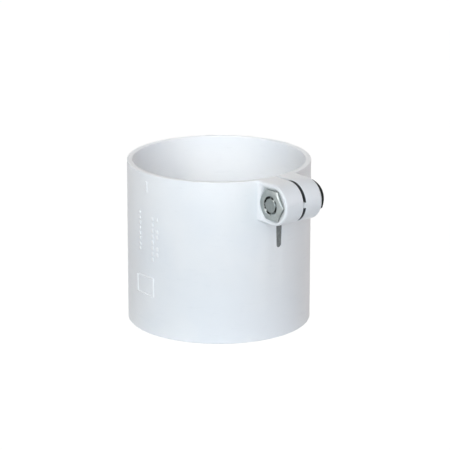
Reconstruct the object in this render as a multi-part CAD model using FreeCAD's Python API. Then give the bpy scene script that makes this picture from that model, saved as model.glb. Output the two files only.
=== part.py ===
import FreeCAD
import Part
import math
import os

# Split coupling that joins two vacuum pipes end to end: one moulded tube with a pipe socket at
# each end and a clamp at the upper one, pinched by a hexagon screw and a nut held in its pocket.
# Sizes are in millimetres. The tube stands along Z with its base at Z = 0, the clamp ears point
# along +X, and their screw lies along Y with the nut on the -Y side.

# Tube
PIPE_DIAMETER = 75.0
PIPE_CLEARANCE = 0.1
WALL = 2.6
SOCKET_DEPTH = 34.5
STOP_WIDTH = 3.0
STOP_HEIGHT = 1.6
STOP_CHAMFER = 0.5
MOUTH_CHAMFER = 0.4
RIM_ROUND = 0.4
BASE_CHAMFER = 0.3

# Slit in the wall, widest at the rim
SLIT_DEPTH = 31.4
SLIT_END_WIDTH = 2.8
SLIT_MOUTH_WIDTH = 4.6

# Soft strip that seals the slit: a flange in a pocket of the socket's wall, and a web in the slit
SEAL_WIDTH = 12.0
SEAL_THICKNESS = 1.0
SEAL_BELOW_RIM = 2.0
SEAL_WEB_SINK = 0.4
SEAL_CLEARANCE = 0.05

# Clamp ears
EAR_GAP = 1.6
EAR_RADIUS = 9.0
NUT_SEAT_THICKNESS = 4.55
BACK_EAR_THICKNESS = 9.05
SCREW_STANDOFF = 7.5
EAR_ROUND = 1.0
GAP_ROUND = 0.3
ROOT_ROUND = 2.0
ROOT_SINK = 0.1

# Nut, and the pocket that keeps it from turning
NUT_FLATS = 13.0
NUT_THICKNESS = 6.5
NUT_PROUD = 1.3
POCKET_CLEARANCE = 0.1
COUNTERSINK = 0.35

# Screw, with the plain radius of its thread
SCREW_DIAMETER = 8.0
SCREW_LENGTH = 20.0
SCREW_END_CHAMFER = 0.8
THREAD_CLEARANCE = 0.05
HOLE_CLEARANCE = 0.25
HEAD_FLATS = 13.0
HEAD_HEIGHT = 5.3
HEAD_TURN = 30.0
HEAD_SINK = 1.6
HEAD_CLEARANCE = 0.3
WASHER_FACE_HEIGHT = 0.4
WASHER_FACE_SHARE = 0.9

# Raised marks on the -Y side of the tube: a blank frame near the base and a pointer at the rim
MARK_HEIGHT = 0.3
MARK_SINK = 0.3
FRAME_AZIMUTH = -92.8
FRAME_MIDDLE = 21.7
FRAME_WIDTH = 12.2
FRAME_HEIGHT = 8.8
FRAME_LINE = 0.8
POINTER_AZIMUTH = -90.4
POINTER_MIDDLE = 66.1
POINTER_WIDTH = 1.3
POINTER_LENGTH = 4.6

# Chamfer on the corners of the nut and the head
HEX_CHAMFER_ANGLE = 30.0
HEX_FACE_SHARE = 0.93

# How far a cutting tool reaches past the face that it cuts
OVERCUT = 1.0

BORE_RADIUS = PIPE_DIAMETER / 2 + PIPE_CLEARANCE
TUBE_RADIUS = BORE_RADIUS + WALL
TUBE_HEIGHT = 2 * SOCKET_DEPTH + STOP_WIDTH
GAP_FACE = EAR_GAP / 2
POCKET_DEPTH = NUT_THICKNESS - NUT_PROUD
NUT_SEAT = GAP_FACE + NUT_SEAT_THICKNESS
FRONT_FACE = NUT_SEAT + POCKET_DEPTH
BACK_FACE = GAP_FACE + BACK_EAR_THICKNESS
HEAD_SEAT = BACK_FACE - HEAD_SINK
SEAL_FOOT = SOCKET_DEPTH + STOP_WIDTH
SCREW_X = TUBE_RADIUS + SCREW_STANDOFF
SCREW_Z = TUBE_HEIGHT - EAR_RADIUS


def face_between(start, steps):
    """Closed face from start through steps: (end,) is a line, (middle, end) an arc."""
    edges = []
    here = start
    for step in steps:
        if len(step) == 2:
            edges.append(Part.Arc(here, step[0], step[1]).toShape())
        else:
            edges.append(Part.LineSegment(here, step[0]).toShape())
        here = step[-1]
    edges.append(Part.LineSegment(here, start).toShape())
    return Part.Face(Part.Wire(edges))


def tube_blank():
    """Outside of the tube as a full round bar, chamfered at the base and rounded at the rim."""
    r = TUBE_RADIUS
    h = TUBE_HEIGHT
    e = RIM_ROUND
    middle = e * (1 - math.sqrt(0.5))
    profile = face_between(FreeCAD.Vector(0, 0, 0), [
        (FreeCAD.Vector(r - BASE_CHAMFER, 0, 0),),
        (FreeCAD.Vector(r, 0, BASE_CHAMFER),),
        (FreeCAD.Vector(r, 0, h - e),),
        (FreeCAD.Vector(r - middle, 0, h - middle), FreeCAD.Vector(r - e, 0, h)),
        (FreeCAD.Vector(0, 0, h),),
    ])
    return profile.revolve(FreeCAD.Vector(0, 0, 0), FreeCAD.Vector(0, 0, 1), 360)


def pipe_space():
    """Space inside the tube: two sockets with chamfered mouths and the stop ridge between them."""
    b = BORE_RADIUS
    m = MOUTH_CHAMFER
    s = b - STOP_HEIGHT
    c = STOP_CHAMFER
    h = TUBE_HEIGHT
    low = SOCKET_DEPTH
    high = SOCKET_DEPTH + STOP_WIDTH
    corners = [
        (b + m, -OVERCUT), (b + m, 0), (b, m), (b, low), (s + c, low), (s, low + c),
        (s, high - c), (s + c, high), (b, high), (b, h - m), (b + m, h), (b + m, h + OVERCUT),
        (0, h + OVERCUT),
    ]
    steps = [(FreeCAD.Vector(r, 0, z),) for r, z in corners]
    profile = face_between(FreeCAD.Vector(0, 0, -OVERCUT), steps)
    return profile.revolve(FreeCAD.Vector(0, 0, 0), FreeCAD.Vector(0, 0, 1), 360)


def slit(inset=0.0):
    """Wedge that splits the wall on the +X side, with a round lower end, or one set in all round."""
    end = SLIT_END_WIDTH / 2 - inset
    mouth = SLIT_MOUTH_WIDTH / 2 - inset
    bottom = TUBE_HEIGHT - SLIT_DEPTH + inset
    profile = face_between(FreeCAD.Vector(0, -mouth, TUBE_HEIGHT + OVERCUT), [
        (FreeCAD.Vector(0, -mouth, TUBE_HEIGHT),),
        (FreeCAD.Vector(0, -end, bottom + end),),
        (FreeCAD.Vector(0, 0, bottom), FreeCAD.Vector(0, end, bottom + end)),
        (FreeCAD.Vector(0, mouth, TUBE_HEIGHT),),
        (FreeCAD.Vector(0, mouth, TUBE_HEIGHT + OVERCUT),),
    ])
    return profile.extrude(FreeCAD.Vector(TUBE_RADIUS + OVERCUT, 0, 0))


def wall_ring(inner, outer, low, high):
    """Ring about the tube's axis between two radii and two heights."""
    ring = Part.makeCylinder(outer, high - low, FreeCAD.Vector(0, 0, low))
    return ring.cut(Part.makeCylinder(inner, high - low, FreeCAD.Vector(0, 0, low)))


def wall_patch(inner, outer, low, high, azimuth, width):
    """Part of such a ring with flat sides, as wide as asked and centred at an azimuth."""
    side = Part.makeBox(outer, width, high - low, FreeCAD.Vector(0, -width / 2, low))
    side.rotate(FreeCAD.Vector(0, 0, 0), FreeCAD.Vector(0, 0, 1), azimuth)
    return wall_ring(inner, outer, low, high).common(side)


def mark(azimuth, middle, width, height):
    """Raised patch on the outside of the tube."""
    low = middle - height / 2
    return wall_patch(TUBE_RADIUS - MARK_SINK, TUBE_RADIUS + MARK_HEIGHT, low, low + height, azimuth, width)


def blank_frame():
    """Raised outline of an empty field."""
    field = mark(FRAME_AZIMUTH, FRAME_MIDDLE, FRAME_WIDTH, FRAME_HEIGHT)
    inside = mark(FRAME_AZIMUTH, FRAME_MIDDLE, FRAME_WIDTH - 2 * FRAME_LINE, FRAME_HEIGHT - 2 * FRAME_LINE)
    return field.cut(inside)


def seal_pocket():
    """Pocket in the socket's wall that the seal's flange lies in."""
    outer = BORE_RADIUS + SEAL_THICKNESS + SEAL_CLEARANCE
    high = TUBE_HEIGHT - SEAL_BELOW_RIM + SEAL_CLEARANCE
    width = SEAL_WIDTH + 2 * SEAL_CLEARANCE
    return wall_patch(BORE_RADIUS - OVERCUT, outer, SEAL_FOOT, high, 0, width)


def ear_side_view(inner_x):
    """Ear seen along Y: flush with the rim on top, level below, half round about the screw."""
    top = SCREW_Z + EAR_RADIUS
    bottom = SCREW_Z - EAR_RADIUS
    return face_between(FreeCAD.Vector(inner_x, 0, bottom), [
        (FreeCAD.Vector(SCREW_X, 0, bottom),),
        (FreeCAD.Vector(SCREW_X + EAR_RADIUS, 0, SCREW_Z), FreeCAD.Vector(SCREW_X, 0, top)),
        (FreeCAD.Vector(inner_x, 0, top),),
    ])


def ear_plan_view(inner_x, outer, side):
    """Ear seen along Z, with the hollow root that leads its outer face into the tube."""
    reach = TUBE_RADIUS + ROOT_ROUND - ROOT_SINK
    root_y = outer + ROOT_ROUND
    root_x = math.sqrt(reach ** 2 - root_y ** 2)
    landing = 1 - ROOT_ROUND / reach
    half_turn = (-math.pi / 2 + math.atan2(-root_y, -root_x)) / 2
    middle = (root_x + ROOT_ROUND * math.cos(half_turn), root_y + ROOT_ROUND * math.sin(half_turn))
    tip = SCREW_X + EAR_RADIUS
    return face_between(FreeCAD.Vector(inner_x, side * GAP_FACE, 0), [
        (FreeCAD.Vector(tip, side * GAP_FACE, 0),),
        (FreeCAD.Vector(tip, side * outer, 0),),
        (FreeCAD.Vector(root_x, side * outer, 0),),
        (FreeCAD.Vector(middle[0], side * middle[1], 0),
         FreeCAD.Vector(root_x * landing, side * root_y * landing, 0)),
        (FreeCAD.Vector(inner_x, side * root_y * landing, 0),),
    ])


def is_upright(edge):
    """Whether an edge is a straight line along Z."""
    ends = edge.Vertexes
    return isinstance(edge.Curve, Part.Line) and abs(ends[0].X - ends[1].X) < 1e-6


def edges_on_face(shape, y):
    """Edges of the ear's outline that lie in the plane at y."""
    found = []
    for edge in shape.Edges:
        if all(abs(v.Y - y) < 1e-6 for v in edge.Vertexes) and not is_upright(edge):
            found.append(edge)
    return found


def root_edges(shape):
    """Upper and lower edge of the hollow root."""
    return [e for e in shape.Edges if isinstance(e.Curve, Part.Circle) and abs(e.Curve.Radius - ROOT_ROUND) < 1e-6]


def ear(outer, side):
    """One clamp ear, from inside the tube to its round end, before its holes are cut."""
    inner_x = math.sqrt(BORE_RADIUS ** 2 - (outer + ROOT_ROUND) ** 2) - OVERCUT
    span = outer + ROOT_ROUND + OVERCUT
    side_view = ear_side_view(inner_x)
    side_view.translate(FreeCAD.Vector(0, -span, 0))
    block = side_view.extrude(FreeCAD.Vector(0, 2 * span, 0))
    plan_view = ear_plan_view(inner_x, outer, side)
    block = block.common(plan_view.extrude(FreeCAD.Vector(0, 0, TUBE_HEIGHT)))
    block = block.makeFillet(EAR_ROUND, edges_on_face(block, side * outer) + root_edges(block))
    return block.makeFillet(GAP_ROUND, edges_on_face(block, side * GAP_FACE))


def turned(corners):
    """Solid of revolution about the screw's axis, from (radius, y) corners that start on the axis."""
    points = [FreeCAD.Vector(SCREW_X + r, y, SCREW_Z) for r, y in corners]
    profile = face_between(points[0], [(p,) for p in points[1:]])
    return profile.revolve(FreeCAD.Vector(SCREW_X, 0, SCREW_Z), FreeCAD.Vector(0, 1, 0), 360)


def round_bar(radius, y_from, y_to):
    """Plain cylinder on the screw's axis."""
    return turned([(0, y_from), (radius, y_from), (radius, y_to), (0, y_to)])


def hexagon(flats, y_from, y_to, turn=0.0):
    """Hexagonal bar on the screw's axis, with a corner pointing along +X at no turn."""
    corner = flats / math.sqrt(3)
    points = []
    for k in range(7):
        a = math.radians(60 * k + turn)
        points.append(FreeCAD.Vector(SCREW_X + corner * math.cos(a), y_from, SCREW_Z + corner * math.sin(a)))
    return Part.Face(Part.makePolygon(points)).extrude(FreeCAD.Vector(0, y_to - y_from, 0))


def chamfered_ends(flats, y_from, y_to, low_end, high_end):
    """Round bar that trims a hexagon's corners at the ends asked for."""
    face = HEX_FACE_SHARE * flats / 2
    full = flats / math.sqrt(3) + OVERCUT
    depth = (full - face) * math.tan(math.radians(HEX_CHAMFER_ANGLE))
    corners = [(0, y_from)]
    corners += [(face, y_from), (full, y_from + depth)] if low_end else [(full, y_from)]
    corners += [(full, y_to - depth), (face, y_to)] if high_end else [(full, y_to)]
    return turned(corners + [(0, y_to)])


def coupling_body():
    """The moulding: tube, ears, slit, pipe space, screw hole and nut pocket."""
    body = tube_blank().cut(slit())
    body = body.fuse([ear(FRONT_FACE, -1), ear(BACK_FACE, 1)])
    body = body.fuse([blank_frame(), mark(POINTER_AZIMUTH, POINTER_MIDDLE, POINTER_WIDTH, POINTER_LENGTH)])
    body = body.cut([pipe_space(), seal_pocket()])
    hole = round_bar(SCREW_DIAMETER / 2 + HOLE_CLEARANCE, -FRONT_FACE - OVERCUT, BACK_FACE + OVERCUT)
    pocket = hexagon(NUT_FLATS + 2 * POCKET_CLEARANCE, -FRONT_FACE - OVERCUT, -NUT_SEAT)
    recess = round_bar(HEAD_FLATS / math.sqrt(3) + HEAD_CLEARANCE, HEAD_SEAT, BACK_FACE + OVERCUT)
    return body.cut([hole, pocket, recess]).removeSplitter()


def slit_seal():
    """The soft strip: its flange stands on the stop ridge, and its web fills the slit below the ears."""
    flange_radius = BORE_RADIUS + SEAL_THICKNESS
    foot = SEAL_FOOT + SEAL_CLEARANCE
    flange = wall_patch(BORE_RADIUS, flange_radius, foot, TUBE_HEIGHT - SEAL_BELOW_RIM, 0, SEAL_WIDTH)
    web_top = SCREW_Z - EAR_RADIUS - SEAL_CLEARANCE
    web = wall_ring(BORE_RADIUS, TUBE_RADIUS - SEAL_WEB_SINK, foot, web_top).common(slit(SEAL_CLEARANCE))
    return flange.fuse(web).removeSplitter()


def clamp_nut():
    """Hexagon nut on the floor of its pocket, with a plain bore for the thread."""
    low = -NUT_SEAT - NUT_THICKNESS
    high = -NUT_SEAT
    nut = hexagon(NUT_FLATS, low, high).common(chamfered_ends(NUT_FLATS, low, high, True, True))
    bore = SCREW_DIAMETER / 2 + THREAD_CLEARANCE
    mouth = bore + COUNTERSINK
    return nut.cut(turned([
        (0, low - OVERCUT), (mouth, low - OVERCUT), (mouth, low), (bore, low + COUNTERSINK),
        (bore, high - COUNTERSINK), (mouth, high), (mouth, high + OVERCUT), (0, high + OVERCUT),
    ]))


def clamp_screw():
    """Hexagon screw whose washer face bears in the back ear's recess."""
    seat = HEAD_SEAT
    under = seat + WASHER_FACE_HEIGHT
    top = seat + HEAD_HEIGHT
    head = hexagon(HEAD_FLATS, under, top, HEAD_TURN).common(chamfered_ends(HEAD_FLATS, under, top, False, True))
    washer_face = round_bar(WASHER_FACE_SHARE * HEAD_FLATS / 2, seat, under)
    radius = SCREW_DIAMETER / 2
    end = seat - SCREW_LENGTH
    shank = turned([
        (0, end), (radius - SCREW_END_CHAMFER, end), (radius, end + SCREW_END_CHAMFER), (radius, seat), (0, seat),
    ])
    return head.fuse([washer_face, shank]).removeSplitter()


def main():
    os.makedirs("parts", exist_ok=True)
    nodes = {
        "coupling_body": coupling_body(),
        "slit_seal": slit_seal(),
        "clamp_nut": clamp_nut(),
        "clamp_screw": clamp_screw(),
    }
    for name, shape in nodes.items():
        solid = shape.Solids[0]
        solid.exportStep(os.path.join("parts", name + ".step"))
        print(name, "solids", len(shape.Solids), "valid", solid.isValid(), "volume", round(solid.Volume, 1))


main()
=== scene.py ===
"""The looks of a split coupling for vacuum pipes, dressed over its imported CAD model.

A short moulded tube takes a pipe end from each side. Its upper end is slit, and two ears beside
the slit are drawn together by a hexagon screw and a nut that sits in a pocket of the front ear.
Sizes in the classes are in millimetres, and are turned to metres where a mesh is made.
"""

import logging
import math
from collections.abc import Iterator, Sequence
from contextlib import contextmanager
from dataclasses import dataclass
from enum import Enum
from itertools import pairwise
from typing import Any

import bpy
from bpy.types import ID, Material, Node, NodeSocket, NodeTree, Object
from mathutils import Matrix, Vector


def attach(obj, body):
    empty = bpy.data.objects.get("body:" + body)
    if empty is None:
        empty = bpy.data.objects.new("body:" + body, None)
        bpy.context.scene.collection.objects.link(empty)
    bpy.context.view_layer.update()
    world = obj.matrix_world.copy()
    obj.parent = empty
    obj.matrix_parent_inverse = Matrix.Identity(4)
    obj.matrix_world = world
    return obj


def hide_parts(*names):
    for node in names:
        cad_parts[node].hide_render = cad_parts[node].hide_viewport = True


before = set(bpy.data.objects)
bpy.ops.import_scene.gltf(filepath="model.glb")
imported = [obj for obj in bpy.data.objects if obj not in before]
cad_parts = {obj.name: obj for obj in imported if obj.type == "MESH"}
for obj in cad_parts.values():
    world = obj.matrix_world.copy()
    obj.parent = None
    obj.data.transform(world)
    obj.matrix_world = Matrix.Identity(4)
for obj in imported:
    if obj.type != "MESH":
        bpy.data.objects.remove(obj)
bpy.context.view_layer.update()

log = logging.getLogger("coupling")

MM = 0.001

# Points nearer to each other than this many millimetres are merged: at the seam and poles of a
# turned shape, between triangles or turns of thread, and along a cut.
SEAM_WELD = 0.002
MESH_WELD = 0.001
CUT_WELD = 0.0001

# The raised marks are on the left of the tube, where Y is below this many millimetres.
MARKED_SIDE = -39.0


class Join(Enum):
    """How one solid is worked into another."""

    ADD = "UNION"
    TAKE_AWAY = "DIFFERENCE"
    KEEP_SHARED = "INTERSECT"


# Small tools for meshes and nodes


def clear_selection() -> None:
    """Leave nothing selected, so that an operator acts only on what is picked next."""
    bpy.ops.object.select_all(action="DESELECT")
    bpy.context.view_layer.objects.active = None


def pick(piece: Object) -> None:
    """Make one object the only selected and active one.

    Args:
        piece: The object that the next operators act on.
    """
    clear_selection()
    piece.select_set(True)
    bpy.context.view_layer.objects.active = piece


def add_to_scene(name: str, data: ID) -> Object:
    """Make an object of a mesh, a lamp or a camera and link it to the scene.

    Args:
        name: The new object's name.
        data: The mesh, lamp or camera.

    Returns:
        The new object, at the origin.
    """
    thing = bpy.data.objects.new(name, data)
    bpy.context.scene.collection.objects.link(thing)
    return thing


@contextmanager
def editing(piece: Object) -> Iterator[None]:
    """Open a piece in edit mode with all of it selected, and close it afterwards.

    Args:
        piece: The mesh object to edit.
    """
    pick(piece)
    bpy.ops.object.mode_set(mode="EDIT")
    bpy.ops.mesh.select_mode(type="VERT")
    bpy.ops.mesh.select_all(action="SELECT")
    yield
    bpy.ops.object.mode_set(mode="OBJECT")


def draw_line(name: str, points: Sequence[Vector]) -> Object:
    """Draw a line of edges by extruding one vertex from point to point.

    Args:
        name: The new object's name.
        points: The line's points, in metres.

    Returns:
        A mesh object with the line's edges and no face.
    """
    clear_selection()
    bpy.ops.mesh.primitive_plane_add(size=MM, location=(0, 0, 0))
    line = bpy.context.object
    line.name = line.data.name = name
    with editing(line):
        bpy.ops.mesh.merge(type="CENTER")
        bpy.ops.transform.translate(value=points[0])
        for start, end in pairwise(points):
            bpy.ops.mesh.extrude_region_move(TRANSFORM_OT_translate={"value": end - start})
    return line


def close_up(piece: Object) -> None:
    """Merge a turned shape's seam and poles, and point its faces outwards.

    Args:
        piece: The turned or wound shape.
    """
    with editing(piece):
        bpy.ops.mesh.remove_doubles(threshold=SEAM_WELD * MM)
        bpy.ops.mesh.normals_make_consistent(inside=False)


def slice_off(place: Vector, outward: Vector) -> None:
    """Slice the open piece with a plane, drop what is outside it and close the cut.

    Args:
        place: A point of the plane, in metres.
        outward: The plane's normal, towards what is dropped.
    """
    bpy.ops.mesh.select_all(action="SELECT")
    bpy.ops.mesh.bisect(
        plane_co=place,
        plane_no=outward,
        use_fill=True,
        clear_outer=True,
        threshold=CUT_WELD * MM,
    )


def work_in(piece: Object, tool: Object, how: Join) -> None:
    """Work a tool solid into a piece and throw the tool away.

    Args:
        piece: The solid that stays.
        tool: The solid that is added, taken away or used to trim.
        how: Which of the three.
    """
    pick(piece)
    step = piece.modifiers.new("work", "BOOLEAN")
    step.operation = how.value
    step.object = tool
    step.solver = "EXACT"
    bpy.ops.object.modifier_apply(modifier=step.name)
    bpy.data.meshes.remove(tool.data)


def soften_edges(piece: Object, width: float, angle: float, segments: int = 2) -> None:
    """Round every edge sharper than an angle, as tumbling and plating leave it.

    Args:
        piece: The solid to round.
        width: Width of the rounding in millimetres.
        angle: Least angle between two faces that is rounded, in degrees.
        segments: How many faces turn the corner.
    """
    pick(piece)
    step = piece.modifiers.new("soften", "BEVEL")
    step.width = width * MM
    step.segments = segments
    step.limit_method = "ANGLE"
    step.angle_limit = math.radians(angle)
    bpy.ops.object.modifier_apply(modifier=step.name)


def shade(piece: Object, angle: float) -> None:
    """Shade a piece smooth but for edges sharper than an angle in degrees."""
    pick(piece)
    bpy.ops.object.shade_smooth_by_angle(angle=math.radians(angle))


def linear(colour: str) -> tuple[float, float, float, float]:
    """Turn an sRGB hex colour into the linear values that a shader takes.

    Args:
        colour: The colour as "#RRGGBB".

    Returns:
        Linear red, green, blue and an alpha of 1.
    """
    parts = [int(colour[i : i + 2], 16) / 255 for i in (1, 3, 5)]
    red, green, blue = (c / 12.92 if c <= 0.04045 else ((c + 0.055) / 1.055) ** 2.4 for c in parts)
    return red, green, blue, 1.0


def add_node(
    tree: NodeTree, kind: str, inputs: dict[str | int, Any] | None = None, **settings: Any
) -> Node:
    """Add a node, set it up and link it.

    Args:
        tree: The node tree that it joins.
        kind: The node's type name.
        inputs: For each input its value, or the output to link. A node is its first output.
        **settings: The node's own settings.

    Returns:
        The new node.
    """
    node = tree.nodes.new(kind)
    for name, value in settings.items():
        setattr(node, name, value)
    for name, value in (inputs or {}).items():
        source = value.outputs[0] if isinstance(value, Node) else value
        if isinstance(source, NodeSocket):
            tree.links.new(source, node.inputs[name])
        else:
            node.inputs[name].default_value = value
    return node


def new_material(name: str) -> tuple[Material, NodeTree]:
    """Make an empty node material.

    Args:
        name: The material's name.

    Returns:
        The material and its node tree.
    """
    material = bpy.data.materials.new(name)
    material.use_nodes = True
    material.node_tree.nodes.clear()
    return material, material.node_tree


def per_metre(size_mm: float) -> float:
    """Give the texture scale at which one cell of a pattern is this many millimetres."""
    return 1 / (size_mm * MM)


def distance_from_line(
    tree: NodeTree, place: Node | NodeSocket, across: tuple[int, int, int]
) -> NodeSocket:
    """Measure how far a place is from a line through the origin.

    Args:
        tree: The material's node tree.
        place: The place, in metres.
        across: 0 for the axis that the line runs along, and 1 for the other two.

    Returns:
        The distance, in metres.
    """
    flat = add_node(tree, "ShaderNodeVectorMath", {0: place, 1: across}, operation="MULTIPLY")
    distance = add_node(tree, "ShaderNodeVectorMath", {0: flat}, operation="LENGTH")
    return distance.outputs["Value"]


def dress(piece: Object, body: str, node: str | None, material: Material) -> None:
    """Give a finished piece its material, its body and the CAD node it stands for.

    Args:
        piece: The finished piece.
        body: The CAD body that it moves with.
        node: The CAD node that it replaces, or None where it only adds to one.
        material: The piece's only material.
    """
    piece.data.materials.clear()
    piece.data.materials.append(material)
    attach(piece, body)
    if node:
        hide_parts(node)


# Finishes


@dataclass(frozen=True)
class MouldedAbs:
    """White ABS, injection moulded in a tool with a fine spark-eroded surface.

    To the eye it is a cool satin white. Light spreads below the surface, the wall has faint waves
    where it shrank, and the skin is finely grained and rubbed here and there. The raised marks
    are polished by handling to a lower roughness, and are painted whiter as a painted highlight.
    The ears' inner faces round the screw are painted dark, as painted shade in the gap.
    """

    screw_place: Vector
    name: str = "moulded_abs_satin"
    colour: str = "#F4F6F8"
    slow_cooled: str = "#F0F3F6"
    rubbed: str = "#E6E9EC"
    ior: float = 1.54
    roughness: float = 0.38
    grain_mm: float = 0.45
    wave_mm: float = 24.0
    rub_mm: float = 5.0
    highlight_white: str = "#FCFDFE"
    # Painted highlight: the raised marks are painted whiter. Their lower roughness is the real
    # polish.
    mark_gloss: float = 0.2
    marks_above: float = 40.3
    marks_edge: float = 0.08
    # Painted shade: the ears' inner faces round the screw are darkened where shade falls in the
    # gap.
    painted_gap_shade: str = "#555757"
    gap_half: float = 0.82
    gap_edge: float = 0.06
    gap_shade_reach: float = 8.55
    gap_shade_fade: float = 0.25
    milky: float = 0.35
    light_reach_mm: float = 1.4

    def make(self) -> Material:
        """Build the node material.

        Returns:
            The material.
        """
        material, tree = new_material(self.name)
        place = add_node(tree, "ShaderNodeTexCoord").outputs["Object"]
        wave = add_node(
            tree,
            "ShaderNodeTexNoise",
            {"Vector": place, "Scale": per_metre(self.wave_mm), "Detail": 2.0, "Roughness": 0.45},
        )
        # Handling marks run round the tube, so their noise is squeezed along Z.
        along = add_node(tree, "ShaderNodeMapping", {"Vector": place, "Scale": (0.5, 0.5, 3.0)})
        rub = add_node(
            tree,
            "ShaderNodeTexNoise",
            {"Vector": along, "Scale": per_metre(self.rub_mm), "Detail": 5.0, "Roughness": 0.7},
        )
        # The real grain is about 0.05 mm. It is drawn coarser, or it would not show at all.
        grain = add_node(
            tree,
            "ShaderNodeTexNoise",
            {"Vector": place, "Scale": per_metre(self.grain_mm), "Detail": 3.0, "Roughness": 0.6},
        )
        cooled = add_node(
            tree, "ShaderNodeMapRange", {"Value": wave, "From Min": 0.38, "From Max": 0.62}
        )
        rubbed = add_node(
            tree,
            "ShaderNodeMapRange",
            {"Value": rub, "From Min": 0.58, "From Max": 0.8, "To Max": 0.55},
        )
        # The raised marks get a painted highlight in their colour and a real polish in their
        # roughness.
        raised = self.on_marks(tree, place)
        # The gap between the ears is darkened as painted shade.
        gap_shaded = self.gap_shade_share(tree, place)
        base = linear(self.colour)
        for share, colour in (
            (cooled, self.slow_cooled),
            (rubbed, self.rubbed),
            (raised, self.highlight_white),
            (gap_shaded, self.painted_gap_shade),
        ):
            layers = {0: share, 6: base, 7: linear(colour)}
            base = add_node(tree, "ShaderNodeMix", layers, data_type="RGBA").outputs[2]
        gloss = add_node(
            tree,
            "ShaderNodeMapRange",
            {
                "Value": rub,
                "From Min": 0.3,
                "From Max": 0.8,
                "To Min": self.roughness - 0.04,
                "To Max": self.roughness + 0.12,
            },
        )
        sheen = add_node(tree, "ShaderNodeMix", {0: raised, 2: gloss, 3: self.mark_gloss})
        milky = add_node(
            tree, "ShaderNodeMapRange", {"Value": raised, "To Min": self.milky, "To Max": 0.0}
        )
        waves = add_node(
            tree, "ShaderNodeBump", {"Strength": 0.6, "Distance": 0.05 * MM, "Height": wave}
        )
        skin = add_node(
            tree,
            "ShaderNodeBump",
            {"Strength": 0.35, "Distance": 0.02 * MM, "Height": grain, "Normal": waves},
        )
        surface = add_node(
            tree,
            "ShaderNodeBsdfPrincipled",
            {
                "Base Color": base,
                "Roughness": sheen,
                "IOR": self.ior,
                "Subsurface Weight": milky,
                "Subsurface Radius": (1.0, 1.0, 1.0),
                "Subsurface Scale": self.light_reach_mm * MM,
                "Normal": skin,
            },
        )
        add_node(tree, "ShaderNodeOutputMaterial", {"Surface": surface})
        return material

    def on_marks(self, tree: NodeTree, place: NodeSocket) -> Node:
        """Give 1 on the marks raised from the tube's left side and 0 elsewhere.

        Args:
            tree: The material's node tree.
            place: The place on the piece, in metres.

        Returns:
            The share of polish and painted highlight.
        """
        proud = add_node(
            tree,
            "ShaderNodeMapRange",
            {
                "Value": distance_from_line(tree, place, (1, 1, 0)),
                "From Min": self.marks_above * MM,
                "From Max": (self.marks_above + self.marks_edge) * MM,
            },
        )
        y = add_node(tree, "ShaderNodeSeparateXYZ", {"Vector": place}).outputs["Y"]
        left = add_node(tree, "ShaderNodeMath", {0: y, 1: MARKED_SIDE * MM}, operation="LESS_THAN")
        return add_node(tree, "ShaderNodeMath", {0: proud, 1: left}, operation="MULTIPLY")

    def gap_shade_share(self, tree: NodeTree, place: NodeSocket) -> Node:
        """Give 1 on the ears' inner faces round the screw, where shade is painted, and 0
        elsewhere.

        Args:
            tree: The material's node tree.
            place: The place on the piece, in metres.

        Returns:
            The share of painted gap shade.
        """
        y = add_node(tree, "ShaderNodeSeparateXYZ", {"Vector": place}).outputs["Y"]
        inside = add_node(
            tree,
            "ShaderNodeMapRange",
            {
                "Value": add_node(tree, "ShaderNodeMath", {0: y}, operation="ABSOLUTE"),
                "From Min": (self.gap_half + self.gap_edge) * MM,
                "From Max": self.gap_half * MM,
            },
        )
        from_screw = add_node(
            tree, "ShaderNodeMapping", {"Vector": place, "Location": -self.screw_place * MM}
        )
        near = add_node(
            tree,
            "ShaderNodeMapRange",
            {
                "Value": distance_from_line(tree, from_screw, (1, 0, 1)),
                "From Min": (self.gap_shade_reach + self.gap_shade_fade) * MM,
                "From Max": self.gap_shade_reach * MM,
            },
        )
        return add_node(tree, "ShaderNodeMath", {0: inside, 1: near}, operation="MULTIPLY")


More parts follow.
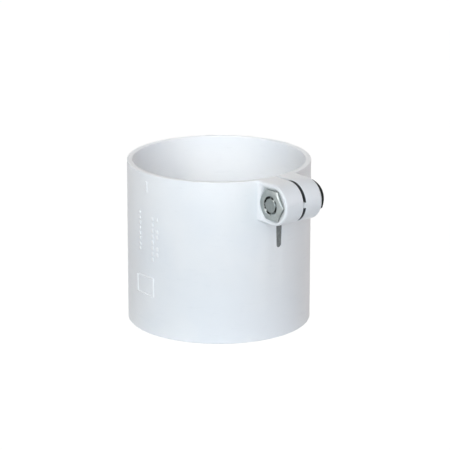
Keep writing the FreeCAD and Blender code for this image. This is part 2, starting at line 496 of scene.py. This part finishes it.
@dataclass(frozen=True)
class ZincPlate:
    """Cold-formed steel with a thin plating of clear-passivated zinc.

    To the eye it is a slightly green grey metal with a fine cloudy sparkle. Its end faces carry
    faint rings from the forming tools, and its corners are rubbed bright where spanners touch.
    The thread's mouth and the screw's head are painted dark, as painted shade and a painted
    dark reflection.
    """

    name: str
    colour: str
    cloud: str
    centre: Vector
    bright: str = "#C9CCCA"
    roughness: float = 0.3
    spangle_mm: float = 0.55
    cloud_mm: float = 2.6
    ring_mm: float = 0.5
    corner_from: float = 6.95
    corner_to: float = 7.45
    # Painted dark reflection and shade in the thread's mouth and on the screw's head.
    painted_dark: str = "#222525"
    dark_from: float = 3.0
    dark_to: float = 4.0
    dark_fade: float = 0.15
    head_behind: float = 8.0

    def make(self) -> Material:
        """Build the node material.

        Returns:
            The material.
        """
        material, tree = new_material(self.name)
        place = add_node(tree, "ShaderNodeTexCoord").outputs["Object"]
        axis = add_node(
            tree, "ShaderNodeMapping", {"Vector": place, "Location": -self.centre * MM}
        )
        cloud = add_node(
            tree,
            "ShaderNodeTexNoise",
            {"Vector": axis, "Scale": per_metre(self.cloud_mm), "Detail": 4.0, "Roughness": 0.6},
        )
        # Zinc crystals are about 0.05 mm. They are drawn ten times as coarse, so that they show.
        spangle = add_node(
            tree, "ShaderNodeTexVoronoi", {"Vector": axis, "Scale": per_metre(self.spangle_mm)}
        ).outputs["Distance"]
        # One ring of the wave texture is a length of 2 pi / 20 at scale 1.
        rings = add_node(
            tree,
            "ShaderNodeTexWave",
            {"Vector": axis, "Scale": per_metre(self.ring_mm) * math.tau / 20, "Distortion": 0.4},
            wave_type="RINGS",
            rings_direction="Y",
        ).outputs["Fac"]
        reach = distance_from_line(tree, axis, (1, 0, 1))
        corner = add_node(
            tree,
            "ShaderNodeMapRange",
            {"Value": reach, "From Min": self.corner_from * MM, "From Max": self.corner_to * MM},
        )
        worn = add_node(tree, "ShaderNodeMath", {0: corner, 1: cloud}, operation="MULTIPLY")
        clouded = add_node(
            tree, "ShaderNodeMapRange", {"Value": cloud, "From Min": 0.35, "From Max": 0.7}
        )
        base = linear(self.colour)
        for share, colour in (
            (clouded, self.cloud),
            (worn, self.bright),
            # Painted dark reflection and shade on the thread's mouth and the screw's head.
            (self.painted_dark_share(tree, axis, reach, cloud), self.painted_dark),
        ):
            layers = {0: share, 6: base, 7: linear(colour)}
            base = add_node(tree, "ShaderNodeMix", layers, data_type="RGBA").outputs[2]
        gloss = add_node(
            tree,
            "ShaderNodeMapRange",
            {
                "Value": spangle,
                "From Max": 0.7,
                "To Min": self.roughness - 0.06,
                "To Max": self.roughness + 0.12,
            },
        )
        turned = add_node(
            tree, "ShaderNodeBump", {"Strength": 0.3, "Distance": 0.01 * MM, "Height": rings}
        )
        skin = add_node(
            tree,
            "ShaderNodeBump",
            {"Strength": 0.4, "Distance": 0.015 * MM, "Height": spangle, "Normal": turned},
        )
        surface = add_node(
            tree,
            "ShaderNodeBsdfPrincipled",
            {"Base Color": base, "Roughness": gloss, "Metallic": 1.0, "Normal": skin},
        )
        add_node(tree, "ShaderNodeOutputMaterial", {"Surface": surface})
        return material

    def painted_dark_share(self, tree: NodeTree, axis: Node, reach: NodeSocket, cloud: Node) -> Node:
        """Give 1 in the thread's mouth and on the head, and 0 elsewhere.

        Args:
            tree: The material's node tree.
            axis: The place on the piece from the screw's middle, in metres.
            reach: The distance from the screw's axis, in metres.
            cloud: A slow noise that breaks the edge of the painted dark ring.

        Returns:
            The share of painted dark reflection and shade.
        """
        beyond = add_node(
            tree,
            "ShaderNodeMapRange",
            {
                "Value": reach,
                "From Min": self.dark_from * MM,
                "From Max": (self.dark_from + self.dark_fade) * MM,
            },
        )
        within = add_node(
            tree,
            "ShaderNodeMapRange",
            {
                "Value": reach,
                "From Min": (self.dark_to + self.dark_fade) * MM,
                "From Max": self.dark_to * MM,
            },
        )
        ring = add_node(tree, "ShaderNodeMath", {0: beyond, 1: within}, operation="MULTIPLY")
        patchy = add_node(
            tree, "ShaderNodeMapRange", {"Value": cloud, "From Min": 0.36, "From Max": 0.46}
        )
        broken = add_node(tree, "ShaderNodeMath", {0: ring, 1: patchy}, operation="MULTIPLY")
        along = add_node(tree, "ShaderNodeSeparateXYZ", {"Vector": axis}).outputs["Y"]
        head = add_node(
            tree, "ShaderNodeMath", {0: along, 1: self.head_behind * MM}, operation="GREATER_THAN"
        )
        return add_node(tree, "ShaderNodeMath", {0: broken, 1: head}, operation="MAXIMUM")


@dataclass(frozen=True)
class MouldedEpdm:
    """Black EPDM rubber, moulded and dusted with talc.

    To the eye it is a dark neutral grey with a dull sheen, and a little paler where talc stays.
    """

    name: str = "moulded_epdm_rubber"
    colour: str = "#6D706F"
    talc: str = "#868988"
    ior: float = 1.5
    roughness: float = 0.62
    grain_mm: float = 0.3
    dust_mm: float = 2.2

    def make(self) -> Material:
        """Build the node material.

        Returns:
            The material.
        """
        material, tree = new_material(self.name)
        place = add_node(tree, "ShaderNodeTexCoord").outputs["Object"]
        dust = add_node(
            tree,
            "ShaderNodeTexNoise",
            {"Vector": place, "Scale": per_metre(self.dust_mm), "Detail": 5.0, "Roughness": 0.65},
        )
        dusted = add_node(
            tree, "ShaderNodeMapRange", {"Value": dust, "From Min": 0.42, "From Max": 0.7}
        )
        layers = {0: dusted, 6: linear(self.colour), 7: linear(self.talc)}
        base = add_node(tree, "ShaderNodeMix", layers, data_type="RGBA").outputs[2]
        grain = add_node(
            tree,
            "ShaderNodeTexNoise",
            {"Vector": place, "Scale": per_metre(self.grain_mm), "Detail": 3.0},
        )
        skin = add_node(
            tree, "ShaderNodeBump", {"Strength": 0.4, "Distance": 0.03 * MM, "Height": grain}
        )
        surface = add_node(
            tree,
            "ShaderNodeBsdfPrincipled",
            {"Base Color": base, "Roughness": self.roughness, "IOR": self.ior, "Normal": skin},
        )
        add_node(tree, "ShaderNodeOutputMaterial", {"Surface": surface})
        return material


# Fasteners


@dataclass(frozen=True)
class ScrewAxis:
    """The line through both ears that the screw and the nut are turned about."""

    x: float = 47.7
    z: float = 63.0

    @property
    def middle(self) -> Vector:
        """The line's point midway between the ears."""
        return Vector((self.x, 0, self.z))

    def point(self, radius: float, y: float, angle: float = 0.0) -> Vector:
        """Give the place in metres at a radius, a height along Y and degrees from +X."""
        turn = math.radians(angle)
        return Vector((self.x + radius * math.cos(turn), y, self.z + radius * math.sin(turn))) * MM

    def turned(self, name: str, profile: Sequence[tuple[float, float]], steps: int = 96) -> Object:
        """Turn a profile into a round solid about the axis.

        Args:
            name: The new object's name.
            profile: Radius and Y of each corner, from the axis round to the axis.
            steps: Divisions of the full turn.

        Returns:
            The closed solid.
        """
        solid = draw_line(name, [self.point(radius, y) for radius, y in profile])
        centre = self.point(0, 0)
        with editing(solid):
            bpy.ops.mesh.spin(
                steps=steps, angle=math.tau, center=centre, axis=(0, 1, 0), use_auto_merge=True
            )
        close_up(solid)
        return solid

    def cut_flats(self, solid: Object, flats: float, turn: float, sides: int = 6) -> None:
        """Cut flats on a turned solid, which leaves the curved corners of a real chamfer.

        Args:
            solid: The round solid.
            flats: Width across the flats.
            turn: Angle of the first corner from +X, in degrees.
            sides: How many flats.
        """
        centre = self.point(0, 0)
        with editing(solid):
            for side in range(sides):
                flat = self.point(flats / 2, 0, turn + (side + 0.5) * 360 / sides)
                slice_off(flat, (flat - centre).normalized())


@dataclass(frozen=True)
class MetricThread:
    """A right-hand metric thread, cut to its true profile.

    It is wound with turns to spare at both ends, which are sliced off.
    """

    diameter: float = 8.0
    pitch: float = 1.25
    depth: float = 0.75
    crest: float = 0.16
    flank_angle: float = 30.0
    turns_below: float = 1.5
    spare_turns: int = 3
    steps: int = 48

    def sleeve(
        self, name: str, axis: ScrewAxis, y_from: float, y_to: float, grow: float = 0.0
    ) -> Object:
        """Wind the thread's profile into a closed threaded rod.

        Args:
            name: The new object's name.
            axis: The line that it winds round.
            y_from: The rod's lower end.
            y_to: The rod's upper end.
            grow: How far every face stands outside the true profile.

        Returns:
            The closed rod.
        """
        top = self.diameter / 2 + grow
        slope = self.depth * math.tan(math.radians(self.flank_angle))
        crest = self.crest + 2 * grow
        root = self.pitch - crest - 2 * slope
        bottom = y_from - self.turns_below * self.pitch
        profile = [
            (top - self.depth, bottom),
            (top - self.depth, bottom + root),
            (top, bottom + root + slope),
            (top, bottom + root + slope + crest),
            (top - self.depth, bottom + self.pitch),
        ]
        rod = draw_line(name, [axis.point(radius, y) for radius, y in profile])
        self._set_origin(rod, axis.point(0, 0))
        wind = rod.modifiers.new("wind", "SCREW")
        wind.axis = "Y"
        wind.angle = math.tau
        wind.screw_offset = self.pitch * MM
        wind.iterations = math.ceil((y_to - y_from) / self.pitch) + self.spare_turns
        wind.steps = wind.render_steps = self.steps
        wind.use_merge_vertices = True
        wind.merge_threshold = MESH_WELD * MM
        pick(rod)
        bpy.ops.object.modifier_apply(modifier=wind.name)
        self._set_origin(rod, Vector((0, 0, 0)))
        close_up(rod)
        for y, outward in ((y_from, -1), (y_to, 1)):
            with editing(rod):
                slice_off(Vector((0, y * MM, 0)), Vector((0, outward, 0)))
        close_up(rod)
        return rod

    @staticmethod
    def _set_origin(piece: Object, place: Vector) -> None:
        """Move a piece's origin and leave its mesh where it is.

        Args:
            piece: The piece.
            place: The new origin, in metres.
        """
        bpy.context.scene.cursor.location = place
        pick(piece)
        bpy.ops.object.origin_set(type="ORIGIN_CURSOR")
        bpy.context.scene.cursor.location = (0, 0, 0)


@dataclass(frozen=True)
class HexForm:
    """The hexagon that the nut and the screw's head share."""

    flats: float = 13.0
    face_share: float = 0.93
    chamfer_angle: float = 30.0
    blank_spare: float = 0.05
    edge_round: float = 0.14
    edge_angle: float = 22.0

    @property
    def corner_radius(self) -> float:
        """Radius through the six corners."""
        return self.flats / math.sqrt(3)

    @property
    def blank_radius(self) -> float:
        """Radius of the round blank, a little past the corners."""
        return self.corner_radius + self.blank_spare

    @property
    def face_radius(self) -> float:
        """Radius of the flat end face inside the chamfer."""
        return self.flats / 2 * self.face_share

    @property
    def chamfer_depth(self) -> float:
        """Height that the chamfer takes from each corner."""
        return (self.corner_radius - self.face_radius) * math.tan(math.radians(self.chamfer_angle))

    def cut(self, blank: Object, axis: ScrewAxis, turn: float) -> None:
        """Cut the hexagon on a turned blank and soften its edges.

        Args:
            blank: The round blank.
            axis: The line that it was turned about.
            turn: Angle of the first corner from +X, in degrees.
        """
        axis.cut_flats(blank, self.flats, turn)
        soften_edges(blank, self.edge_round, self.edge_angle)


@dataclass
class ClampNut:
    """The hexagon nut that is held from turning in the front ear's pocket."""

    axis: ScrewAxis
    thread: MetricThread
    hexagon: HexForm
    finish: ZincPlate
    front: float = -11.85
    back: float = -5.35
    turn: float = 0.0
    bore: float = 3.33
    countersink: float = 4.35
    countersink_angle: float = 30.0
    thread_gap: float = 0.06
    bore_past: float = 0.5
    thread_past: float = 1.0
    smooth_below: float = 30.0

    def build(self) -> Object:
        """Model the nut and dress it.

        Returns:
            The finished nut.
        """
        nut = self.blank()
        work_in(nut, self.bore_cutter(), Join.TAKE_AWAY)
        ends = self.front - self.thread_past, self.back + self.thread_past
        inner = self.thread.sleeve("nut_thread", self.axis, *ends, grow=self.thread_gap)
        work_in(nut, inner, Join.TAKE_AWAY)
        shade(nut, self.smooth_below)
        dress(nut, "nut", "clamp_nut", self.finish.make())
        return nut

    def blank(self) -> Object:
        """Turn the chamfered blank and cut its hexagon.

        Returns:
            The nut without a hole.
        """
        form = self.hexagon
        deep = form.chamfer_depth
        profile = [
            (0, self.front),
            (form.face_radius, self.front),
            (form.blank_radius, self.front + deep),
            (form.blank_radius, self.back - deep),
            (form.face_radius, self.back),
            (0, self.back),
        ]
        blank = self.axis.turned("hexagon_nut", profile)
        form.cut(blank, self.axis, self.turn)
        return blank

    def bore_cutter(self) -> Object:
        """Turn the cutter for the core hole and the countersink at each end.

        Returns:
            The cutter, a little longer than the nut.
        """
        steepness = math.tan(math.radians(self.countersink_angle))
        deep = (self.countersink - self.bore) * steepness
        flare = self.countersink + self.bore_past / steepness
        profile = [
            (0, self.front - self.bore_past),
            (flare, self.front - self.bore_past),
            (self.bore, self.front + deep),
            (self.bore, self.back - deep),
            (flare, self.back + self.bore_past),
            (0, self.back + self.bore_past),
        ]
        return self.axis.turned("nut_bore", profile)


@dataclass
class ClampScrew:
    """The hexagon screw that draws the two ears together.

    Its head has a forged dish on top, a washer face below and a fillet at the neck. The thread
    runs out into the neck, and ends in a chamfered tip inside the nut.
    """

    axis: ScrewAxis
    thread: MetricThread
    hexagon: HexForm
    finish: ZincPlate
    seat: float = 8.25
    top: float = 13.55
    tip: float = -11.75
    head_turn: float = 30.0
    crown_radius: float = 5.7
    crown_height: float = 1.6
    washer_height: float = 0.4
    washer_share: float = 0.9
    dish_radius: float = 4.6
    dish_depth: float = 0.3
    neck_radius: float = 3.6
    neck_length: float = 1.9
    fillet: float = 0.4
    fillet_middle: float = 0.1
    tip_radius: float = 2.95
    thread_start: float = 0.6
    run_out_length: float = 0.7
    run_out_depth: float = 0.3
    trim: float = 0.5
    trim_past: float = 0.2
    smooth_below: float = 30.0

    def build(self) -> Object:
        """Model the screw and dress it.

        Returns:
            The finished screw.
        """
        screw = self.head()
        work_in(screw, self.threaded_shank(), Join.ADD)
        shade(screw, self.smooth_below)
        dress(screw, "screw", "clamp_screw", self.finish.make())
        return screw

    def head(self) -> Object:
        """Turn the dished head with its washer face and neck, and cut its hexagon.

        Returns:
            The head and neck.
        """
        form = self.hexagon
        washer = form.flats / 2 * self.washer_share
        dish = self.top - self.dish_depth
        under = self.seat + self.washer_height
        neck_end = self.seat - self.neck_length
        profile = [
            (0, dish),
            (self.dish_radius - self.dish_depth, dish),
            (self.dish_radius, self.top),
            (self.crown_radius, self.top),
            (form.blank_radius, self.top - self.crown_height),
            (form.blank_radius, under),
            (washer, under),
            (washer, self.seat),
            (self.neck_radius + self.fillet, self.seat),
            (self.neck_radius + self.fillet_middle, self.seat - self.fillet_middle),
            (self.neck_radius, self.seat - self.fillet),
            (self.neck_radius, neck_end),
            (0, neck_end),
        ]
        head = self.axis.turned("hexagon_screw", profile)
        form.cut(head, self.axis, self.head_turn)
        return head

    def threaded_shank(self) -> Object:
        """Wind the thread and trim it to its run-out and its chamfered tip.

        Returns:
            The threaded rod, which starts inside the neck.
        """
        full = self.thread.diameter / 2 + self.trim_past
        start = self.seat - self.neck_length + self.thread_start
        ends = self.tip - self.trim, start + self.trim
        rod = self.thread.sleeve("screw_thread", self.axis, *ends)
        profile = [
            (0, self.tip),
            (self.tip_radius, self.tip),
            (full, self.tip + full - self.tip_radius),
            (full, start - self.run_out_length),
            (self.neck_radius - self.run_out_depth, start),
            (0, start),
        ]
        work_in(rod, self.axis.turned("screw_length", profile), Join.KEEP_SHARED)
        return rod


# Moulding


def copy_of_solid(node: str, name: str) -> Object:
    """Copy a CAD node's mesh into a new piece and join its loose triangles.

    Args:
        node: The CAD node.
        name: The new piece's name.

    Returns:
        The new piece, with a mesh of its own.
    """
    piece = add_to_scene(name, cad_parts[node].data.copy())
    piece.data.name = name
    with editing(piece):
        bpy.ops.mesh.remove_doubles(threshold=MESH_WELD * MM)
    return piece


@dataclass
class MouldedBody:
    """The one-piece moulding: tube, sockets, stop ridge, slit and clamp ears."""

    finish: MouldedAbs
    node: str = "coupling_body"
    smooth_below: float = 32.0
    mark_top: float = 40.45
    mark_round: float = 0.28
    mark_edge_angle: float = 60.0

    def build(self) -> Object:
        """Dress a copy of the CAD solid, whose faces are shaded by their size.

        Returns:
            The finished moulding.
        """
        body = copy_of_solid(self.node, "moulded_body")
        self.round_marks(body)
        shade(body, self.smooth_below)
        pick(body)
        level = body.modifiers.new("level", "WEIGHTED_NORMAL")
        level.keep_sharp = True
        bpy.ops.object.modifier_apply(modifier=level.name)
        dress(body, "body", self.node, self.finish.make())
        return body

    def round_marks(self, body: Object) -> None:
        """Round the upper edges of the raised frame and pointer.

        Args:
            body: The moulding, before it is shaded.
        """
        with editing(body):
            bpy.ops.mesh.select_all(action="DESELECT")
            bpy.ops.mesh.select_mode(type="EDGE")
            bpy.ops.mesh.edges_select_sharp(sharpness=math.radians(self.mark_edge_angle))
        for edge in body.data.edges:
            ends = [body.data.vertices[i].co for i in edge.vertices]
            marked = all(end.y < MARKED_SIDE * MM for end in ends)
            raised = all(math.hypot(end.x, end.y) > self.mark_top * MM for end in ends)
            edge.select = edge.select and marked and raised
        pick(body)
        bpy.ops.object.mode_set(mode="EDIT")
        bpy.ops.mesh.bevel(offset=self.mark_round * MM, segments=3, affect="EDGES")
        bpy.ops.object.mode_set(mode="OBJECT")


@dataclass(frozen=True)
class Ladder:
    """Rows of short raised dashes that climb the wall.

    The columns are steps in degrees from the azimuth. Each third row has the first column alone.
    """

    azimuth: float
    columns: tuple[float, ...]
    lowest: float
    pitch: float
    rows: int
    width: float
    height: float

    def places(self) -> Iterator[tuple[float, float]]:
        """Give each dash's azimuth in degrees and its height, from the lowest row up."""
        for row in range(self.rows):
            for column in self.columns if row % 3 else self.columns[:1]:
                yield self.azimuth + column, self.lowest + row * self.pitch


@dataclass
class DepthScale:
    """Two ladders of raised dashes, which show how far the pipe goes in."""

    finish: MouldedAbs
    tube_radius: float = 40.2
    rise: float = 0.29
    sink: float = 0.2
    slant: float = 15.0
    edge_round: float = 0.27
    edge_angle: float = 60.0
    smooth_below: float = 50.0
    far: Ladder = Ladder(
        azimuth=-97.6, columns=(0.0,), lowest=37.6, pitch=2.3, rows=8, width=1.5, height=1.55
    )
    near: Ladder = Ladder(
        azimuth=-83.0, columns=(-2.0, 2.0), lowest=34.2, pitch=2.6, rows=8, width=1.3, height=1.8
    )

    def build(self) -> Object:
        """Model the dashes, join them and dress them.

        Returns:
            The two ladders as one piece.
        """
        dashes = [dash for ladder in (self.far, self.near) for dash in self.climb(ladder)]
        clear_selection()
        for dash in dashes:
            dash.select_set(True)
        bpy.context.view_layer.objects.active = dashes[0]
        bpy.ops.object.join()
        scale = dashes[0]
        scale.name = scale.data.name = "depth_scale"
        shade(scale, self.smooth_below)
        dress(scale, "body", None, self.finish.make())
        return scale

    def climb(self, ladder: Ladder) -> list[Object]:
        """Set a ladder's dashes in the wall, each with a mesh of its own.

        Args:
            ladder: The ladder.

        Returns:
            Its dashes, from the lowest row up.
        """
        pattern = self.pattern(ladder)
        middle = self.tube_radius + (self.rise - self.sink) / 2
        dashes = []
        for azimuth, height in ladder.places():
            turn = math.radians(azimuth)
            dash = add_to_scene("dash", pattern.data.copy())
            dash.rotation_euler = (0, 0, turn)
            dash.location = Vector((middle * math.cos(turn), middle * math.sin(turn), height)) * MM
            pick(dash)
            bpy.ops.object.transform_apply(location=True, rotation=True, scale=False)
            dashes.append(dash)
        bpy.data.meshes.remove(pattern.data)
        return dashes

    def pattern(self, ladder: Ladder) -> Object:
        """Model a ladder's dash at the origin, lean it and round it.

        Args:
            ladder: The ladder.

        Returns:
            The dash with rounded edges.
        """
        clear_selection()
        bpy.ops.mesh.primitive_cube_add(size=MM)
        dash = bpy.context.object
        dash.scale = (self.rise + self.sink, ladder.width, ladder.height)
        dash.rotation_euler = (math.radians(self.slant), 0, 0)
        bpy.ops.object.transform_apply(location=False, rotation=True, scale=True)
        soften_edges(dash, self.edge_round, self.edge_angle, segments=3)
        return dash


@dataclass
class GapStop:
    """The small nub at the ears' outer end that keeps them from closing all the way."""

    finish: MouldedAbs
    near: Vector = Vector((54.4, -0.45, 61.7)).freeze()
    far: Vector = Vector((56.6, 1.0, 64.0)).freeze()
    edge_round: float = 0.25
    edge_angle: float = 60.0
    smooth_below: float = 50.0

    def build(self) -> Object:
        """Model the nub, which stands on the back ear's inner face.

        Returns:
            The finished nub.
        """
        clear_selection()
        bpy.ops.mesh.primitive_cube_add(size=MM, location=(self.near + self.far) / 2 * MM)
        nub = bpy.context.object
        nub.name = nub.data.name = "ear_gap_stop"
        nub.scale = self.far - self.near
        bpy.ops.object.transform_apply(location=True, rotation=False, scale=True)
        soften_edges(nub, self.edge_round, self.edge_angle, segments=3)
        shade(nub, self.smooth_below)
        dress(nub, "body", None, self.finish.make())
        return nub


@dataclass
class SlitSeal:
    """The rubber strip that closes the slit from the inside."""

    finish: MouldedEpdm
    node: str = "slit_seal"
    edge_round: float = 0.15
    edge_angle: float = 50.0
    smooth_below: float = 40.0

    def build(self) -> Object:
        """Round the edges of a copy of the CAD solid and dress it.

        Returns:
            The finished strip.
        """
        strip = copy_of_solid(self.node, "slit_seal_strip")
        soften_edges(strip, self.edge_round, self.edge_angle)
        shade(strip, self.smooth_below)
        dress(strip, "body", self.node, self.finish.make())
        return strip


# Studio


@dataclass(frozen=True)
class Softbox:
    """A square soft light: its direction in degrees, its power and its sRGB colour."""

    name: str
    azimuth: float
    elevation: float
    watts: float
    colour: str


@dataclass
class Studio:
    """The pale floor, the soft light and the camera."""

    target: Vector = Vector((0, 0, 36.0)).freeze()
    azimuth: float = -39.8
    elevation: float = 16.9
    distance: float = 1125.6
    focal_pixels: float = 2556.0
    frame_pixels: float = 450.0
    centre_pixel: tuple[float, float] = (219.03, 236.75)
    sensor_width: float = 36.0
    clip_m: tuple[float, float] = (0.05, 20.0)
    floor_size: float = 5000.0
    floor_drop: float = 0.05
    floor_glow: float = 1.1
    floor_glow_share: float = 0.9
    paper: str = "#F4F5F6"
    air: str = "#FFFFFF"
    air_level: float = 0.06
    softbox_distance: float = 2600.0
    softbox_size: float = 1500.0
    softboxes: tuple[Softbox, ...] = (
        Softbox("front_softbox", azimuth=-40, elevation=10, watts=28, colour="#DCF1FF"),
        Softbox("left_softbox", azimuth=-78, elevation=34, watts=29, colour="#FFFCFB"),
        Softbox("high_right_softbox", azimuth=-2, elevation=34, watts=6, colour="#FFFFFF"),
        Softbox("right_softbox", azimuth=30, elevation=20, watts=11, colour="#FFEDEA"),
        Softbox("back_softbox", azimuth=140, elevation=25, watts=5, colour="#FFFFFF"),
    )
    inner_wall: Vector = Vector((-28.9, 24.1, 50.0)).freeze()
    spot_elevation: float = 48.0
    spot_distance: float = 1300.0
    spot_watts: float = 54.0
    spot_cone: float = 3.0
    spot_blend: float = 0.6
    spot_size: float = 40.0

    def build(self) -> None:
        """Set up all that isn't part of the object."""
        self.floor()
        self.world()
        for softbox in self.softboxes:
            self.hang(softbox)
        self.light_inside()
        self.camera()
        bpy.context.scene.view_settings.view_transform = "Standard"

    def away(self, azimuth: float, elevation: float, distance: float) -> Vector:
        """Give the place that is this far from the target in a direction.

        Args:
            azimuth: The direction from +X, in degrees.
            elevation: The direction above the horizon, in degrees.
            distance: The distance in millimetres.

        Returns:
            The place, in metres.
        """
        turn, rise = math.radians(azimuth), math.radians(elevation)
        level = math.cos(rise)
        way = Vector((math.cos(turn) * level, math.sin(turn) * level, math.sin(rise)))
        return (self.target + way * distance) * MM

    @staticmethod
    def aim(thing: Object, place: Vector, target: Vector) -> None:
        """Put a lamp or the camera somewhere and point it at a target.

        Args:
            thing: The lamp or camera.
            place: Where it stands, in metres.
            target: Where it points, in millimetres.
        """
        thing.location = place
        thing.rotation_euler = (target * MM - place).to_track_quat("-Z", "Y").to_euler()

    @staticmethod
    def seen_directly(tree: NodeTree) -> Node:
        """Tell what the camera sees straight, in a reflection or through glass.

        Args:
            tree: The material's or the world's node tree.

        Returns:
            1 for what is seen so, and 0 for light that only falls on the object.
        """
        path = add_node(tree, "ShaderNodeLightPath").outputs
        shiny = add_node(
            tree,
            "ShaderNodeMath",
            {0: path["Is Glossy Ray"], 1: path["Is Transmission Ray"]},
            operation="MAXIMUM",
        )
        return add_node(
            tree, "ShaderNodeMath", {0: path["Is Camera Ray"], 1: shiny}, operation="MAXIMUM"
        )

    def floor(self) -> None:
        """Lay white card that looks white and still takes the object's shadow."""
        clear_selection()
        bpy.ops.mesh.primitive_plane_add(
            size=self.floor_size * MM, location=(0, 0, -self.floor_drop * MM)
        )
        sheet = bpy.context.object
        sheet.name = sheet.data.name = "studio_floor"
        material, tree = new_material("white_card")
        share = add_node(
            tree,
            "ShaderNodeMath",
            {0: self.seen_directly(tree), 1: self.floor_glow_share},
            operation="MULTIPLY",
        )
        card = add_node(tree, "ShaderNodeBsdfDiffuse", {"Color": linear(self.paper)})
        glow = add_node(tree, "ShaderNodeEmission", {"Strength": self.floor_glow})
        mixed = add_node(tree, "ShaderNodeMixShader", {0: share, 1: card, 2: glow})
        add_node(tree, "ShaderNodeOutputMaterial", {"Surface": mixed})
        sheet.data.materials.append(material)

    def world(self) -> None:
        """Fill the room with even light, which looks white where it is seen."""
        world = bpy.data.worlds.new("studio_air")
        bpy.context.scene.world = world
        world.use_nodes = True
        tree = world.node_tree
        tree.nodes.clear()
        seen = self.seen_directly(tree)
        colour = linear(self.air)
        dim = add_node(tree, "ShaderNodeBackground", {"Color": colour, "Strength": self.air_level})
        white = add_node(tree, "ShaderNodeBackground", {"Color": (1, 1, 1, 1), "Strength": 1.0})
        mixed = add_node(tree, "ShaderNodeMixShader", {0: seen, 1: dim, 2: white})
        add_node(tree, "ShaderNodeOutputWorld", {"Surface": mixed})

    def hang(self, softbox: Softbox) -> None:
        """Hang a softbox and point it at the object.

        Args:
            softbox: The lamp's direction, power and colour.
        """
        light = bpy.data.lights.new(softbox.name, "AREA")
        light.size = self.softbox_size * MM
        light.energy = softbox.watts
        light.color = linear(softbox.colour)[:3]
        place = self.away(softbox.azimuth, softbox.elevation, self.softbox_distance)
        self.aim(add_to_scene(softbox.name, light), place, self.target)

    def light_inside(self) -> None:
        """Hang a small soft spotlight above the camera that lights the inner wall."""
        light = bpy.data.lights.new("inside_spot", "SPOT")
        light.energy = self.spot_watts
        light.spot_size = math.radians(self.spot_cone)
        light.spot_blend = self.spot_blend
        light.shadow_soft_size = self.spot_size * MM
        place = self.away(self.azimuth, self.spot_elevation, self.spot_distance)
        self.aim(add_to_scene("inside_spot", light), place, self.inner_wall)

    def camera(self) -> None:
        """Place the camera as the photograph was taken."""
        lens = bpy.data.cameras.new("camera")
        lens.sensor_width = self.sensor_width
        lens.lens = self.focal_pixels / self.frame_pixels * self.sensor_width
        half = self.frame_pixels / 2
        lens.shift_x = (half - self.centre_pixel[0]) / self.frame_pixels
        lens.shift_y = (self.centre_pixel[1] - half) / self.frame_pixels
        lens.clip_start, lens.clip_end = self.clip_m
        eye = add_to_scene("camera", lens)
        self.aim(eye, self.away(self.azimuth, self.elevation, self.distance), self.target)
        bpy.context.scene.camera = eye


def main() -> None:
    """Build the object's pieces in order and report each one, then build the studio."""
    logging.basicConfig(level=logging.INFO, format="%(name)s %(message)s")
    axis = ScrewAxis()
    thread = MetricThread()
    hexagon = HexForm()
    white = MouldedAbs(axis.middle)
    # The nub stands in the ears' gap. It takes the painted gap shade on its middle alone and stays
    # bright.
    bright_white = MouldedAbs(axis.middle, gap_half=0.1)
    nut_zinc = ZincPlate("zinc_plated_nut_steel", "#ABB2B1", "#9AA1A0", axis.middle)
    screw_zinc = ZincPlate("zinc_plated_screw_steel", "#969D9C", "#858C8B", axis.middle)
    parts = (
        MouldedBody(white),
        DepthScale(white),
        GapStop(bright_white),
        SlitSeal(MouldedEpdm()),
        ClampNut(axis, thread, hexagon, nut_zinc),
        ClampScrew(axis, thread, hexagon, screw_zinc),
    )
    for part in parts:
        piece = part.build()
        log.info("%s: %d faces", piece.name, len(piece.data.polygons))
    Studio().build()


if __name__ == "__main__":
    main()
